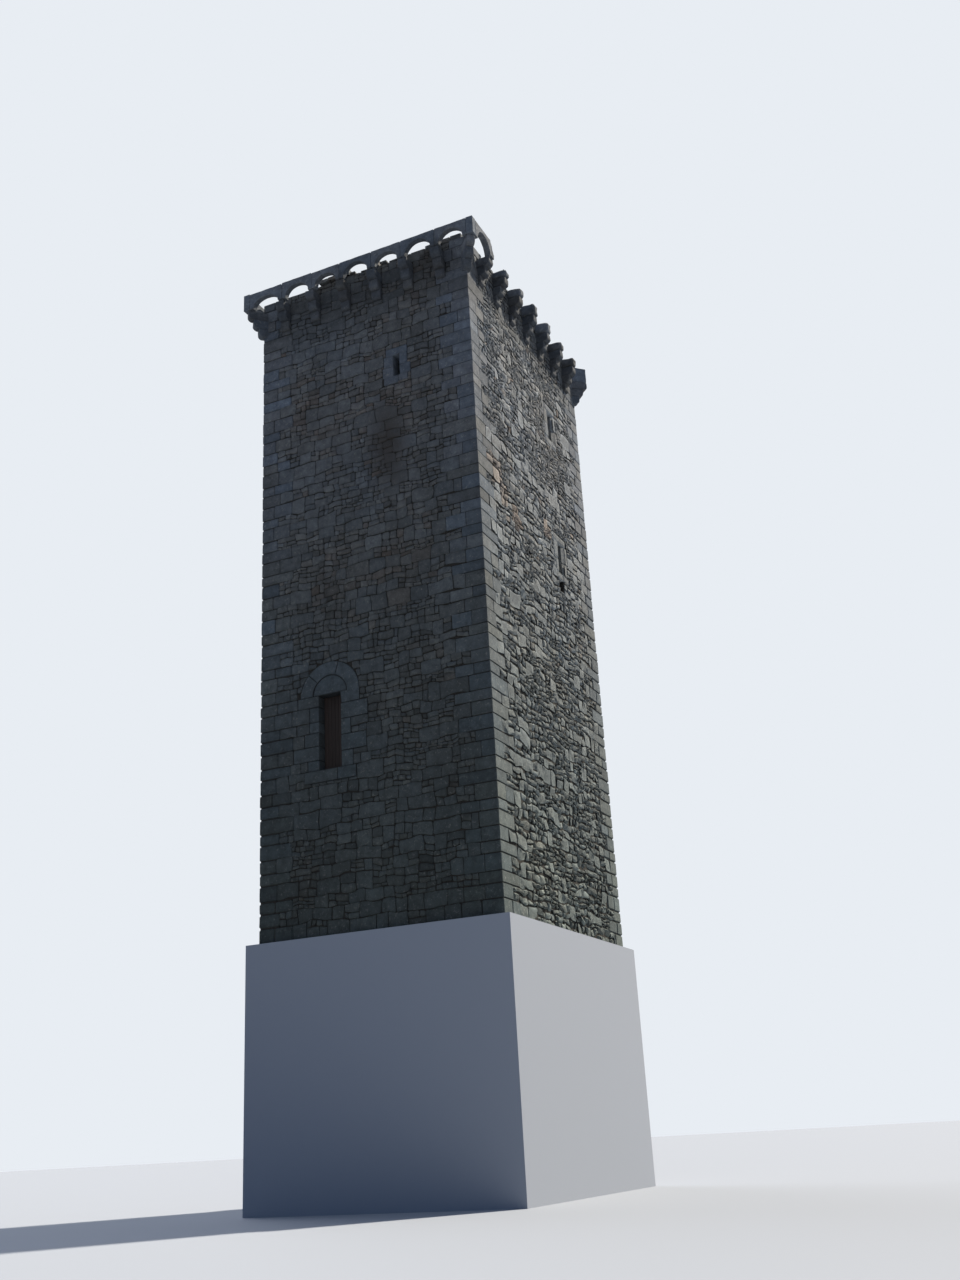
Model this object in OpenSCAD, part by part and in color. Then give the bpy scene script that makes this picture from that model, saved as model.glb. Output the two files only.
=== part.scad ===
// Granite castle keep: a square hollow tower with toothed quoins, a raised round-headed door,
// small windows and a crown of stepped corbels that carry a row of small round arches.
// Origin at the middle of the tower on the ground, front towards -Y, +Z up. Millimetres.

/* [Tower] */
// Width of the front and back faces
front_w = 7500; // [7000:50:8600]
// Length of the two side faces
side_d = 9140; // [8400:50:10400]
// Thickness of the walls at the ground
wall_t = 1500; // [1400:20:1800]
// Set-back of the inner face at each floor, which carries the joists
ledge = 90; // [60:10:100]
// Depth of the rubble face behind the face of the quoins
rubble_set = 35; // [15:5:60]
// Width of a mortar joint between dressed stones
joint = 10; // [6:1:16]

/* [Storeys] */
// Level of the entrance floor and of the door sill
entrance_z = 4680; // [4200:20:5200]
// Level of the middle floor
middle_z = 10900; // [10000:50:11200]
// Level of the upper floor
upper_z = 15900; // [15200:50:16200]
// Thickness of the floor boards
board_t = 60; // [40:5:90]
// Height of the floor joists
joist_h = 240; // [180:10:320]
// Width of the floor joists
joist_w = 180; // [140:10:240]
// Distance between the middles of the joists
joist_pitch = 700; // [500:20:900]
// Thickness of the terrace paving
paving_t = 120; // [80:10:160]
// Drop of the terrace paving below the wall top
paving_drop = 100; // [40:10:160]

/* [Quoins] */
// Usual height of a quoin course
course_h = 384; // [320:4:460]
// Share by which the course heights vary
course_vary = 0.2; // [0:0.05:0.3]
// Length of the long arm of a quoin
long_arm = 1080; // [900:20:1160]
// Length of the short arm of a quoin
short_arm = 620; // [520:20:760]
// Amount by which the arms vary
arm_vary = 60; // [0:10:90]

/* [Door] */
// Distance of the middle of the door from the left corner of the front
door_from_left = 2380; // [2300:10:2700]
// Clear width of the doorway
door_w = 720; // [660:10:840]
// Height from the sill to the springing of the arch
door_h = 2250; // [2000:10:2400]
// Radius of the tympanum
tympanum_r = 565; // [540:5:640]
// Width of the arch ring
ring_w = 420; // [340:10:480]
// Depth of the dressed stones in the wall
dressing_t = 450; // [400:10:520]
// Distance of the door leaf behind the wall face
leaf_set = 300; // [200:10:330]
// Thickness of the door leaf
leaf_t = 60; // [50:5:70]
// Depth of the right foot of the arch below the springing
arch_foot = 360; // [200:10:420]
// Number of courses in the right jamb of the door
jamb_courses = 4; // [3:1:8]
// Length of the shortest jamb stones
jamb_short = 330; // [280:10:420]
// Length of the longest jamb stones
jamb_long = 890; // [760:10:940]
// Length of the sill
sill_l = 1700; // [1500:20:1900]
// Height of the sill
sill_h = 350; // [260:10:400]
// Projection of the sill
sill_out = 30; // [10:5:60]
// Width of the passage behind the dressed stones
passage_w = 1000; // [900:20:1200]

/* [Windows] */
// Distance of the slit from the middle of the front, to the right
slit_right = 1160; // [900:10:1300]
// Height of the sills of the slits above the upper floor
slit_sill = 950; // [800:10:1100]
// Width of a slit
slit_w = 220; // [160:10:280]
// Height of a slit
slit_h = 740; // [600:10:860]
// Distance of the middle of the side windows from the back corners
window_from_back = 2800; // [2600:10:3100]
// Height of the sills of the side windows above their floors
window_sill = 1000; // [900:10:1200]
// Width of a side window
window_w = 420; // [340:10:500]
// Height of a side window
window_h = 1110; // [900:10:1250]
// Width of the jamb stones of a window
frame_w = 320; // [240:10:380]
// Height of the lintel and of the sill of a window
frame_h = 280; // [200:10:340]
// Depth of the frame stones in the wall
frame_t = 400; // [300:10:460]
// Growth of a window's width from the frame to the inner face
splay = 420; // [200:20:520]
// Width of the hole where a stone is missing under the middle window of the right side
hole_w = 400; // [240:10:480]
// Height of the hole
hole_h = 390; // [200:10:460]
// Depth of the hole behind the face of the quoins
hole_depth = 260; // [120:10:360]

/* [Crown] */
// Height of the underside of the corbels
crown_z = 19800; // [19400:20:20200]
// Projection of the arcade in front of the quoins
crown_out = 485; // [400:5:560]
// Number of stones in a corbel
corbel_steps = 3; // [2:1:4]
// Height of a corbel stone
corbel_h = 313; // [270:1:340]
// Width of a corbel
corbel_w = 320; // [260:10:360]
// Length of a corbel stone inside the wall
corbel_tail = 520; // [400:10:560]
// Radius of a corbel nose
nose_r = 150; // [100:5:200]
// Share of the projection by which each nose stays behind an even stair
nose_lag = 0.12; // [0.05:0.01:0.2]
// Number of arches along the front and along the back
front_bays = 7; // [6:1:8]
// Number of arches along each side
side_bays = 8; // [7:1:9]
// Thickness of the arcade
arcade_t = 210; // [180:5:240]
// Height of the arch stones
band_h = 620; // [560:10:680]
// Thickness of the arch stones over an arch
arch_crown_t = 175; // [150:5:230]
// Width of the foot of the arch stones on a corbel
foot_w = 280; // [220:10:320]
// Width of solid stone at each end of an arcade
corner_leg = 380; // [360:10:420]
// Most that a worn arch stone is lower than the highest one
band_wear = 36; // [0:4:60]
// Height of the wall top above the foot of the arch stones
walk_rise = 360; // [240:10:420]
// Width of a corner corbel, which stands out diagonally
corner_w = 260; // [220:10:320]
// Projection of a corner corbel along the diagonal
corner_out = 520; // [480:10:560]
// Length of the broken arch stone beyond its corbel on the ruined side
broken_reach = 240; // [180:10:300]
// Slant of the break
broken_slant = 28; // [20:1:35]
// Usual height of the springers left on the ruined side
springer_h = 320; // [260:10:350]

/* [Hidden] */

half_w = front_w / 2;
half_d = side_d / 2;
band_z = crown_z + corbel_steps * corbel_h;
wall_top = band_z + walk_rise;
window_y = half_d - window_from_back;
floor_h = board_t + joist_h;
spring_z = entrance_z + door_h;
door_x = door_from_left - half_w;
ring_r = tympanum_r + ring_w;
cut = 5;
seat = 0.3;
round_fn = 48;

// Wall lifts: each starts at a ledge, where the wall gets thinner
lift_z = [0, entrance_z - floor_h, middle_z - floor_h, upper_z - floor_h, wall_top];
function lift_t(k) = wall_t - k * ledge;

// A smooth irregular number between -1 and 1 for stone i
function uneven(i) = sin(137.5 * i + 40);

// Course levels, from the ground to the wall top
course_n = round(wall_top / course_h);
course_share = [for (i = [0:course_n - 1]) 1 + course_vary * uneven(i)];
function total(list, n) = n == 0 ? 0 : list[n - 1] + total(list, n - 1);
course_sum = total(course_share, course_n);
course_z = [for (i = [0:course_n]) round(wall_top * total(course_share, i) / course_sum)];

// Quoin arms: long and short take turns, the other way round on the next face
function arm(i, turn) =
  round(((i + turn) % 2 == 0 ? long_arm : short_arm) + arm_vary * uneven(3 * i + 5 * turn));

// Places of the corbels along a face that is 2 * half long between its quoins
function pitch(half, bays) = (2 * half + crown_out) / bays;
function corbel_at(half, bays, i) = -half - crown_out / 2 + i * pitch(half, bays);

// Edges of the arch stones: over a corbel, or at the corner stone. The masons set out the front by
// eye, so its joints stray to the right of the corbels' middles.
front_stray = [0, 110, 120, 20, 50, -20, 40];
corner_arm = corner_leg - foot_w / 2;
function stone_edge(half, bays, i, stray) =
  i == 0 ? -half - crown_out + corner_arm :
  i == bays ? half + crown_out - corner_arm :
  corbel_at(half, bays, i) + (i < len(stray) ? stray[i] : 0);

// Projection of the nose of corbel stone k, counted from 1 at the bottom
function nose_out(k) = crown_out * (k / corbel_steps - nose_lag);
function corner_nose_out(k) = corner_out * k / corbel_steps;

// A box between two opposite corners
module slab(a, b) {
  low = [min(a.x, b.x), min(a.y, b.y), min(a.z, b.z)];
  translate(low)
    cube([abs(a.x - b.x), abs(a.y - b.y), abs(a.z - b.z)]);
}

// Face frames: x runs along the face, y goes into the wall from the face of the quoins
module on_front() {
  translate([0, -half_d, 0])
    children();
}

module on_back() {
  translate([0, half_d, 0])
    mirror([0, 1, 0])
      children();
}

module on_right() {
  translate([half_w, 0, 0])
    rotate([0, 0, 90])
      children();
}

module on_left() {
  mirror([1, 0, 0])
    on_right()
      children();
}

// Corner frame: the corner at the origin, with the tower towards +X and +Y
module at_corner(sx, sy) {
  translate([sx * half_w, sy * half_d, 0])
    mirror([sx > 0 ? 1 : 0, 0, 0])
      mirror([0, sy > 0 ? 1 : 0, 0])
        children();
}

// Quoins: one block a course, long on one face and short on the other
module quoin_stack(turn, z0 = 0, z1 = wall_top) {
  heart = short_arm - 2 * arm_vary;
  slab([0, 0, z0], [heart, heart, z1]);
  for (i = [0:course_n - 1])
    if (course_z[i + 1] > z0 && course_z[i] < z1)
      slab([0, 0, course_z[i]], [arm(i, turn), arm(i, turn + 1), course_z[i + 1]]);
}

module all_quoins(z0, z1) {
  for (sx = [-1, 1])
    for (sy = [-1, 1])
      at_corner(sx, sy)
        quoin_stack(sx * sy > 0 ? 0 : 1, z0, z1);
}

module quoins(sx, sy) {
  color("lightslategray")
    difference() {
      at_corner(sx, sy)
        quoin_stack(sx * sy > 0 ? 0 : 1);
      all_pockets();
    }
}

// One lift of a wall that runs along a face, with the quoins let in at both ends
module wall_lift(k, from, to) {
  slab([from, rubble_set, lift_z[k]], [to, lift_t(k), lift_z[k + 1]]);
}

module end_wall(k) {
  wall_lift(k, -half_w + rubble_set, half_w - rubble_set);
}

module side_wall(k) {
  wall_lift(k, -half_d + lift_t(k), half_d - lift_t(k));
}

// Pockets that the corbel tails of one face fill
module corbel_pockets(half, bays) {
  for (i = [1:bays - 1])
    translate([corbel_at(half, bays, i), 0, 0])
      slab([-corbel_w / 2, -cut, crown_z], [corbel_w / 2, corbel_tail, band_z]);
}

module all_pockets() {
  on_front()
    corbel_pockets(half_w, front_bays);
  on_back()
    corbel_pockets(half_w, front_bays);
  on_right()
    corbel_pockets(half_d, side_bays);
  on_left()
    corbel_pockets(half_d, side_bays);
  for (sx = [-1, 1])
    for (sy = [-1, 1])
      at_corner(sx, sy)
        rotate([0, 0, 45])
          slab([-cut, -corner_w / 2, crown_z], [corbel_tail, corner_w / 2, band_z]);
}

// Space of the terrace, whose beams lie on a ledge round the wall top
terrace_t = lift_t(3) - ledge;
terrace_foot = wall_top - paving_drop - paving_t - joist_h;
module terrace_space(top) {
  slab([-half_w + terrace_t, -half_d + terrace_t, terrace_foot],
       [half_w - terrace_t, half_d - terrace_t, top]);
}

// Window: a straight slot through the frame, then a splay to the inner face
module window_space(w, h, z, t) {
  translate([0, 0, z])
    linear_extrude(h)
      polygon([
        [-w / 2, -cut],
        [w / 2, -cut],
        [w / 2, frame_t],
        [(w + splay) / 2, t + cut],
        [-(w + splay) / 2, t + cut],
        [-w / 2, frame_t]
      ]);
}

module frame_space(w, h, z) {
  side = w / 2 + frame_w;
  slab([-side, -cut, z - frame_h], [side, frame_t, z + h + frame_h]);
}

module window_frame(w, h, z) {
  side = w / 2 + frame_w;
  for (s = [-1, 1])
    slab([s * w / 2, 0, z], [s * side, frame_t, z + h]);
  slab([-side, 0, z - frame_h], [side, frame_t, z - joint]);
  slab([-side, 0, z + h + joint], [side, frame_t, z + h + frame_h]);
}

slit_z = upper_z + slit_sill;
window_z = [middle_z + window_sill, upper_z + window_sill];

// Doorway: jambs, tympanum and ring fill a pocket, with a wider passage behind them
module door_space() {
  side = door_w / 2;
  translate([door_x, 0, 0]) {
    slab([-side, -cut, entrance_z], [side, dressing_t + cut, spring_z]);
    slab([-passage_w / 2, dressing_t, entrance_z], [passage_w / 2, wall_t + cut, spring_z]);
    slab([-sill_l / 2, -cut, entrance_z - sill_h], [sill_l / 2, dressing_t, entrance_z]);
    translate([0, dressing_t, spring_z])
      rotate([90, 0, 0])
        intersection() {
          cylinder(r = ring_r + seat, h = dressing_t + cut, $fn = 96);
          slab([-ring_r - cut, 0, -cut], [ring_r + cut, ring_r + cut, dressing_t + 2 * cut]);
        }
    jamb_stones();
    right_foot();
  }
}

// Beds of the jambs: on the left the courses run through from the quoins, and on the right the
// stones are taller than the courses and end below the foot of the arch. Each stone's share says
// how far it is on the way from the shortest to the longest.
thin_bed = 150;
foot_z = spring_z - arch_foot;
left_share = [0.1, 1, 0.3, 0, 0, 0.7];
right_share = [0.1, 0.9, 0, 1];
left_limit = door_from_left - long_arm - arm_vary - joint;
left_beds = concat([entrance_z],
                   [for (z = course_z) if (z > entrance_z + thin_bed && z < spring_z - thin_bed) z],
                   [spring_z]);
right_beds = [for (j = [0:jamb_courses]) entrance_z + j * (foot_z - entrance_z) / jamb_courses];

module jamb_stones() {
  jamb_stack(-1, left_beds, left_share, left_limit);
  jamb_stack(1, right_beds, right_share, front_w);
}

module jamb_stack(side, beds, share, limit) {
  for (j = [0:len(beds) - 2]) {
    length = jamb_short + (jamb_long - jamb_short) * share[j % len(share)];
    reach = min(door_w / 2 + length, limit);
    slab([side * door_w / 2, 0, beds[j]], [side * reach, dressing_t, beds[j + 1]]);
  }
}

// The last voussoir on the right runs down below the springing and in under the tympanum
module right_foot() {
  slab([door_w / 2, 0, foot_z], [ring_r, dressing_t, spring_z]);
}

// Walls: what every lift gives up to the quoins, the crown and the terrace
module bonded(k) {
  difference() {
    children();
    all_quoins(lift_z[k], lift_z[k + 1]);
    if (k == 3) {
      all_pockets();
      terrace_space(wall_top + cut);
    }
  }
}

// The wall was levelled at the door's sill and again at its springing
module levelling_bed(z) {
  slab([-half_w, -cut, z - seat], [half_w, wall_t + cut, z]);
}

module front_wall(k) {
  color("gray")
    bonded(k)
      on_front()
        difference() {
          end_wall(k);
          if (k <= 1)
            door_space();
          if (k == 1) {
            levelling_bed(entrance_z);
            levelling_bed(spring_z + seat);
          }
          if (k == 3)
            translate([slit_right, 0, 0])
              slit_opening();
        }
}

module back_wall(k) {
  color("gray")
    bonded(k)
      on_back()
        difference() {
          end_wall(k);
          if (k == 3)
            slit_opening();
        }
}

module slit_opening() {
  window_space(slit_w, slit_h, slit_z, lift_t(3));
  frame_space(slit_w, slit_h, slit_z);
}

module windowed_wall(k) {
  difference() {
    side_wall(k);
    if (k >= 2)
      translate([window_y, 0, 0]) {
        window_space(window_w, window_h, window_z[k - 2], lift_t(k));
        frame_space(window_w, window_h, window_z[k - 2]);
      }
  }
}

module right_wall(k) {
  color("darkgray")
    bonded(k)
      on_right()
        difference() {
          windowed_wall(k);
          if (k == 2)
            missing_stone();
        }
}

// The hole lies a little forward of the window, under its sill
module missing_stone() {
  top = window_z[0] - frame_h;
  translate([window_y - hole_w / 4, 0, 0])
    slab([-hole_w / 2, -cut, top - hole_h], [hole_w / 2, hole_depth, top]);
}

module left_wall(k) {
  color("darkgray")
    bonded(k)
      on_left()
        windowed_wall(k);
}

// Door
module door_sill() {
  color("slategray")
    on_front()
      translate([door_x, 0, 0])
        slab([-sill_l / 2, -sill_out, entrance_z - sill_h], [sill_l / 2, dressing_t, entrance_z]);
}

module door_jambs() {
  color("lightslategray")
    on_front()
      translate([door_x, 0, 0])
        jamb_stones();
}

// One half-round stone that closes the head of the doorway
module door_tympanum() {
  color("slategray")
    on_front()
      translate([door_x, dressing_t, spring_z])
        rotate([90, 0, 0])
          intersection() {
            cylinder(r = tympanum_r, h = dressing_t - 2 * joint, $fn = 96);
            slab([-ring_r, 0, -cut], [ring_r, ring_r, dressing_t]);
          }
}

// Arch ring of three large voussoirs, parted at uneven joints
voussoir_joints = [0, 72, 136, 180];
module door_arch() {
  color("lightslategray")
    on_front() {
      translate([door_x, 0, 0])
        right_foot();
      translate([door_x, dressing_t, spring_z])
        rotate([90, 0, 0])
          voussoirs();
    }
}

module voussoirs() {
  mid_r = tympanum_r + ring_w / 2;
  half_joint = asin(joint / 2 / mid_r);
  last = len(voussoir_joints) - 2;
  for (v = [0:last]) {
    from = voussoir_joints[v] + (v == 0 ? 0 : half_joint);
    to = voussoir_joints[v + 1] - (v == last ? 0 : half_joint);
    rotate([0, 0, from])
      rotate_extrude(angle = to - from, $fn = 96)
        translate([tympanum_r + seat, 0])
          square([ring_w - seat, dressing_t]);
  }
}

// Boarded leaf, shut against the jambs
module door_leaf() {
  color("saddlebrown")
    on_front()
      translate([door_x, 0, 0])
        slab([-door_w / 2, leaf_set, entrance_z], [door_w / 2, leaf_set + leaf_t, spring_z]);
}

// Window frames
module front_slit_frame() {
  color("lightslategray")
    on_front()
      translate([slit_right, 0, 0])
        window_frame(slit_w, slit_h, slit_z);
}

module back_slit_frame() {
  color("lightslategray")
    on_back()
      window_frame(slit_w, slit_h, slit_z);
}

module side_frames() {
  color("lightslategray")
    translate([window_y, 0, 0])
      for (z = window_z)
        window_frame(window_w, window_h, z);
}

// Floors: boards on joists that span the tower's width and lie on the ledges
module joist_row(from, to, z) {
  n = floor((to - from - joist_w) / joist_pitch);
  step = (to - from - joist_w) / n;
  for (i = [0:n])
    translate([0, from + joist_w / 2 + i * step, z])
      children();
}

module storey_floor(k) {
  reach_w = half_w - lift_t(k);
  reach_d = half_d - lift_t(k);
  color("peru") {
    joist_row(-reach_d, reach_d, lift_z[k])
      slab([-reach_w, -joist_w / 2, 0], [reach_w, joist_w / 2, joist_h]);
    slab([-reach_w, -reach_d, lift_z[k] + joist_h], [reach_w, reach_d, lift_z[k] + floor_h]);
  }
}

module terrace_beams() {
  reach_w = half_w - terrace_t;
  reach_d = half_d - terrace_t;
  color("peru")
    joist_row(-reach_d, reach_d, terrace_foot)
      slab([-reach_w, -joist_w / 2, 0], [reach_w, joist_w / 2, joist_h]);
}

module terrace_paving() {
  color("darkgray")
    difference() {
      terrace_space(terrace_foot + joist_h + paving_t);
      terrace_space(terrace_foot + joist_h);
    }
}

// Corbel stone in outline: a tail in the wall and a quarter-round under the nose
module nose_outline(out) {
  r = min(nose_r, out);
  translate([-out, r])
    square([out + corbel_tail, corbel_h - r]);
  translate([r - out, 0])
    square([out + corbel_tail - r, r]);
  translate([r - out, r])
    circle(r, $fn = round_fn);
}

// A corbel of a given width, whose stones reach out as far as each number in a list
module corbel(width, outs) {
  for (k = [1:corbel_steps])
    translate([-width / 2, 0, crown_z + (k - 1) * corbel_h])
      rotate([90, 0, 90])
        linear_extrude(width)
          nose_outline(outs[k - 1]);
}

module corbel_row(half, bays) {
  color("slategray")
    for (i = [1:bays - 1])
      translate([corbel_at(half, bays, i), 0, 0])
        corbel(corbel_w, [for (k = [1:corbel_steps]) nose_out(k)]);
}

// Corner corbels stand out diagonally, with their tails in the quoins
module corner_corbels() {
  color("lightslategray")
    for (sx = [-1, 1])
      for (sy = [-1, 1])
        at_corner(sx, sy)
          rotate([0, 0, -45])
            corbel(corner_w, [for (k = [1:corbel_steps]) corner_nose_out(k)]);
}

// Arch stone: one block from corbel to corbel with a small round arch cut in its underside. A
// narrow arch has straight sides, and its curve starts a little inside them.
impost = 3;
function stone_top(i) = band_z + band_h - band_wear * (1 + uneven(4 * i + 1)) / 2;

module arch_stone(half, bays, i, stray = []) {
  from = stone_edge(half, bays, i, stray);
  to = stone_edge(half, bays, i + 1, stray);
  r = (to - from - foot_w) / 2 - impost;
  arch_z = band_z + band_h - arch_crown_t - r;
  difference() {
    slab([from + joint / 2, -crown_out, band_z], [to - joint / 2, arcade_t - crown_out, stone_top(i)]);
    translate([(from + to) / 2, arcade_t - crown_out + cut, arch_z])
      rotate([90, 90, 0])
        cylinder(r = r, h = arcade_t + 2 * cut, $fn = 64);
    if (arch_z > band_z)
      slab([from + foot_w / 2, -crown_out - cut, band_z - cut],
           [to - foot_w / 2, arcade_t - crown_out + cut, arch_z]);
  }
}

module arch_row(half, bays, stray = []) {
  color("lightslategray")
    for (i = [0:bays - 1])
      arch_stone(half, bays, i, stray);
}

// The ruined side keeps its first arch, the foot of the next and the springers of the others,
// broken off at uneven heights
springer_share = [0.95, 1.15, 1.55, 1.5, 1.2, 1.25];
module right_arch_remains() {
  break_at = corbel_at(half_d, side_bays, 1) + broken_reach;
  color("lightslategray") {
    on_right()
      difference() {
        for (i = [0, 1])
          arch_stone(half_d, side_bays, i);
        translate([break_at, -crown_out - cut, band_z])
          rotate([0, -broken_slant, 0])
            slab([0, 0, -band_h], [2 * pitch(half_d, side_bays), arcade_t + 2 * cut, 2 * band_h]);
      }
    difference() {
      on_right()
        for (i = [2:side_bays - 1])
          translate([corbel_at(half_d, side_bays, i), 0, band_z])
            springer(corbel_w, crown_out, rubble_set, springer_h * springer_share[(i - 2) % 6]);
      all_quoins(band_z, wall_top);
    }
  }
}

// Springer: runs from a little behind the wall face to a rounded nose
module springer(width, out, tail, h) {
  r = nose_r / 2;
  translate([-width / 2 + joint, 0, 0])
    rotate([90, 0, 90])
      linear_extrude(width - 2 * joint)
        union() {
          translate([r - out, 0])
            square([out - r + tail, h]);
          translate([-out, r])
            square([r, h - 2 * r]);
          for (z = [r, h - r])
            translate([r - out, z])
              circle(r, $fn = round_fn);
        }
}

// Corner stones of the arcade: square piers that stand on the diagonal corbels
module corner_pier() {
  slab([-crown_out, -crown_out, band_z],
       [corner_arm - crown_out, corner_arm - crown_out, band_z + band_h]);
}

// The ruined corner keeps a block that lies along its corbel, beside the last stone of the back
module corner_block() {
  difference() {
    translate([0, 0, band_z])
      rotate([0, 0, -45])
        springer(corner_w, corner_out, corner_w / 2, band_h);
    slab([corner_arm - crown_out - joint, -crown_out - cut, band_z - cut],
         [half_w, arcade_t - crown_out + joint, wall_top + band_h]);
  }
}

module corner_arch_stones() {
  color("slategray") {
    for (place = [[-1, -1], [1, -1], [-1, 1]])
      at_corner(place.x, place.y)
        corner_pier();
    difference() {
      at_corner(1, 1)
        corner_block();
      all_quoins(band_z, wall_top);
    }
  }
}

front_wall(0);  // front_wall_ground
front_wall(1);  // front_wall_entrance
front_wall(2);  // front_wall_middle
front_wall(3);  // front_wall_upper
back_wall(0);  // back_wall_ground
back_wall(1);  // back_wall_entrance
back_wall(2);  // back_wall_middle
back_wall(3);  // back_wall_upper
right_wall(0);  // right_wall_ground
right_wall(1);  // right_wall_entrance
right_wall(2);  // right_wall_middle
right_wall(3);  // right_wall_upper
left_wall(0);  // left_wall_ground
left_wall(1);  // left_wall_entrance
left_wall(2);  // left_wall_middle
left_wall(3);  // left_wall_upper
quoins(-1, -1);  // front_left_quoins
quoins(1, -1);  // front_right_quoins
quoins(-1, 1);  // back_left_quoins
quoins(1, 1);  // back_right_quoins
door_sill();
door_jambs();
door_tympanum();
door_arch();
door_leaf();
front_slit_frame();
back_slit_frame();
on_right() side_frames();  // right_window_frames
on_left() side_frames();  // left_window_frames
storey_floor(1);  // entrance_floor
storey_floor(2);  // middle_floor
storey_floor(3);  // upper_floor
terrace_beams();
terrace_paving();
on_front() corbel_row(half_w, front_bays);  // front_corbels
on_back() corbel_row(half_w, front_bays);  // back_corbels
on_right() corbel_row(half_d, side_bays);  // right_corbels
on_left() corbel_row(half_d, side_bays);  // left_corbels
corner_corbels();
on_front() arch_row(half_w, front_bays, front_stray);  // front_arch_stones
on_back() arch_row(half_w, front_bays);  // back_arch_stones
on_left() arch_row(half_d, side_bays);  // left_arch_stones
right_arch_remains();
corner_arch_stones();
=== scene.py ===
import math
import random

import bpy
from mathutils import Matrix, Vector, noise
from mathutils.geometry import tessellate_polygon


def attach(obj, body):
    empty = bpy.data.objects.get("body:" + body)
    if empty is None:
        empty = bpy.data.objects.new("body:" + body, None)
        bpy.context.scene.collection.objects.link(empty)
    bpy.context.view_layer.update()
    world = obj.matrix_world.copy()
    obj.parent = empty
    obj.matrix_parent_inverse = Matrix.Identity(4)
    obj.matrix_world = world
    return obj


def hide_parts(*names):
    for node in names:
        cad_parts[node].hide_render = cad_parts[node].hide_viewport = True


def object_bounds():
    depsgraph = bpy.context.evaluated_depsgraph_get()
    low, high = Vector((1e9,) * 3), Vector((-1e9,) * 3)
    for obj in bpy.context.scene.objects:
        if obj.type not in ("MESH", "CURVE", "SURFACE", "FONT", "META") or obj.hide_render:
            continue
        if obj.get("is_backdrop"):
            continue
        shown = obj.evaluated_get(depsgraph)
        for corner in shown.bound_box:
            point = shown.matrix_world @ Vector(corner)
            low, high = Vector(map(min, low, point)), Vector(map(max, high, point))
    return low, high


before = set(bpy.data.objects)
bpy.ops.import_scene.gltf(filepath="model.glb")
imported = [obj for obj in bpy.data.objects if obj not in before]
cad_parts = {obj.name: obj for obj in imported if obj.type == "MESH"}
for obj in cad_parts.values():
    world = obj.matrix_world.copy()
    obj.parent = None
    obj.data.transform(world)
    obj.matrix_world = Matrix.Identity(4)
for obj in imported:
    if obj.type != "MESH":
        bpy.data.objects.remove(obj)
cad_low, cad_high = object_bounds()

# Blender starts its noise vectors from the clock unless they are given a seed
noise.seed_set(11)


# Quoins: squared granite blocks at the four corners, axe-dressed and laid in lime, one course on
# the next. Long and short arms take turns, and many a long arm is made of two blocks. The courses
# of the whole tower follow their beds.
HALF_W, HALF_D = 3.75, 4.57
WALL_TOP = 21.099
COURSE = 0.384
LONG_ARM, SHORT_ARM, ARM_VARY = 1.08, 0.62, 0.06
JOINT = 0.015
# how far the mortar between the quoins lies behind their faces
MORTAR_SET = 0.035
# up to where the rain has washed out the beds, and how deep the block beside a corner block is
WASHED_TO, BESIDE_D = 16.0, 0.6
# each corner with its sides in x and y, and 1 where its arms take their turns the other way round
CORNERS = (("front_left", -1, -1, 0), ("front_right", 1, -1, 1), ("back_left", -1, 1, 1),
           ("back_right", 1, 1, 0))


def uneven(i):
    """A number from -1 to 1 that varies sizes by the same rule as in the solids."""
    return math.sin(math.radians(137.5 * i + 40))


def arm(i, turn):
    """How far a course of a corner reaches along one of its two faces."""
    usual = LONG_ARM if (i + turn) % 2 == 0 else SHORT_ARM
    return round(usual + ARM_VARY * uneven(3 * i + 5 * turn), 3)


course_count = round(WALL_TOP / COURSE)
shares = [1 + 0.2 * uneven(i) for i in range(course_count)]
beds = [round(WALL_TOP * sum(shares[:i]) / sum(shares), 3) for i in range(course_count + 1)]


def at_corner(sx, sy):
    """Places a stone of a corner by its depth behind the two faces and its height."""
    return lambda u, v, w: (sx * (HALF_W - u), sy * (HALF_D - v), w)


# A heap gathers the stones of one piece: their points, faces and the two numbers that vary the
# granite from stone to stone, its tone from dark to pale and its tint from blue-grey to rust. The
# tone also carries the painted shade and painted highlights on the sides and rims of a stone.
def heap():
    return {"points": [], "faces": [], "tone": [], "tint": []}


# No stone reaches beyond the keep's own box
REACH = [(low + 0.001, high - 0.001) for low, high in zip(cad_low, cad_high)]


def within(point):
    return Vector([min(max(c, low), high) for c, (low, high) in zip(point, REACH)])


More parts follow.
